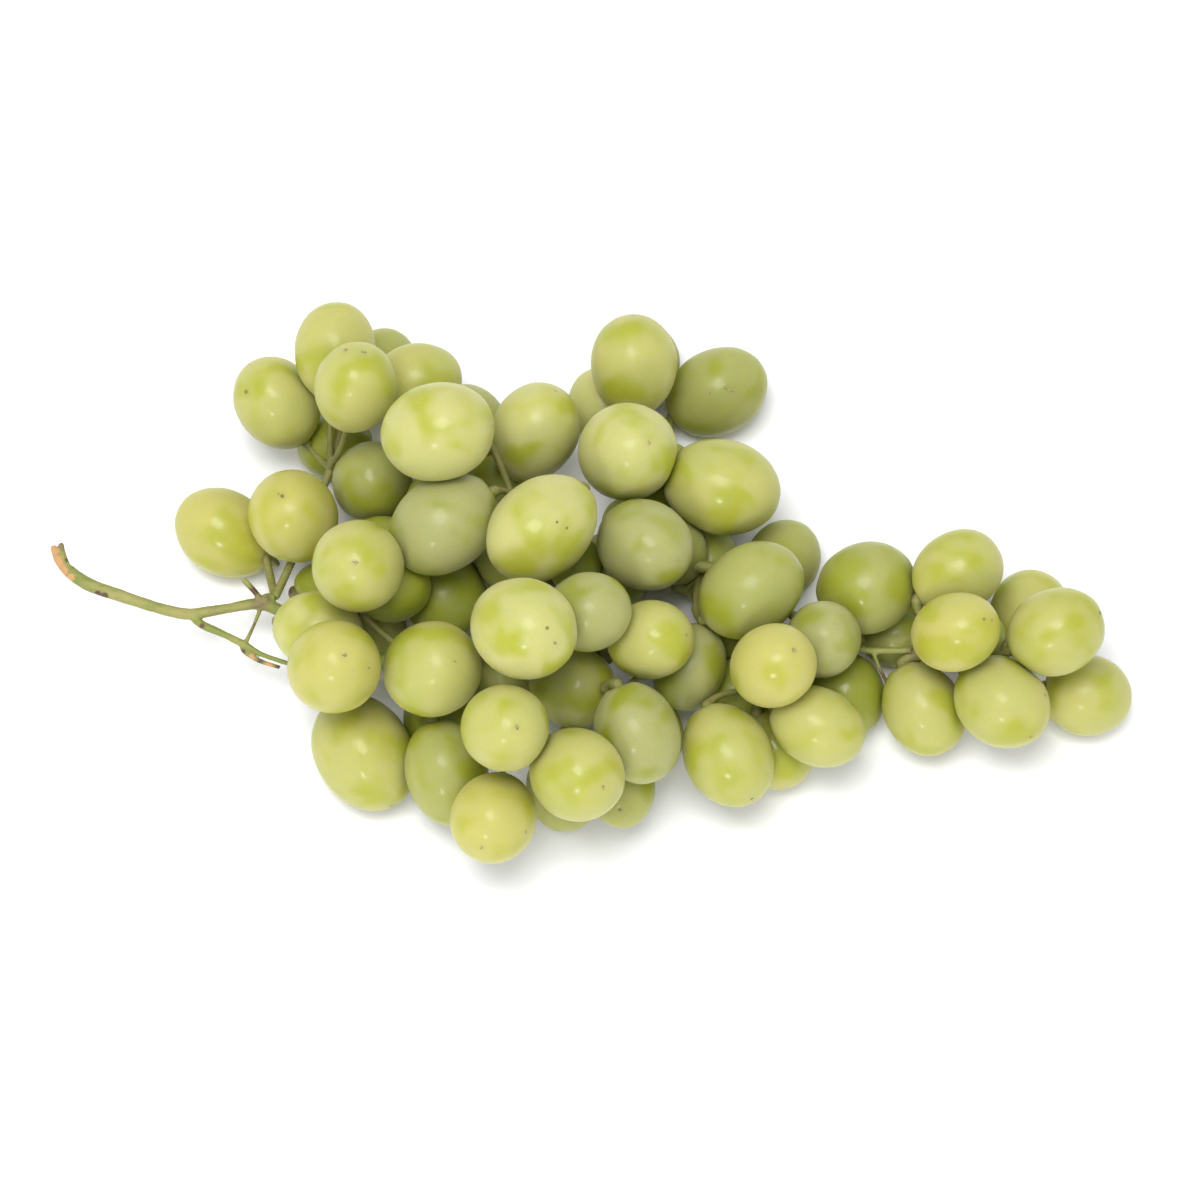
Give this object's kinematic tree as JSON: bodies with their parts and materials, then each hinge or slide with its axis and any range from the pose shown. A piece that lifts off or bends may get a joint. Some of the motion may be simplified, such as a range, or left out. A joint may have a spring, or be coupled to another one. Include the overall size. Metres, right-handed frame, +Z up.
{
  "type": "bunch of grapes",
  "caption": "Loose bunch of white table grapes lying on its side: a bare woody stalk at one end, shoulders of oval berries, and a narrow tail.",
  "frame": {"origin": "middle of the bunch's outline on the surface that it lies on", "axes": "+Z up from the surface; +X along the bunch from the stalk's cut end to the tail; -Y toward the viewer's side"},
  "size_m": [0.2198, 0.1252, 0.0577],
  "materials": {
    "grape_skin": "satin, with a thin waxy bloom",
    "stem": "matte, green to brown"
  },
  "bodies": {
    "root": {"stem": "stem", "spray_stem_end": "grape_skin", "spray_left": "grape_skin", "spray_left_front": "grape_skin", "spray_upper_left": "grape_skin", "spray_upper_middle": "grape_skin", "spray_upper_right": "grape_skin", "spray_centre": "grape_skin", "spray_centre_right": "grape_skin", "spray_lower_left": "grape_skin", "spray_lower_middle": "grape_skin", "spray_lower_right": "grape_skin", "spray_right": "grape_skin", "spray_tail": "grape_skin"}
  },
  "joints": []
}
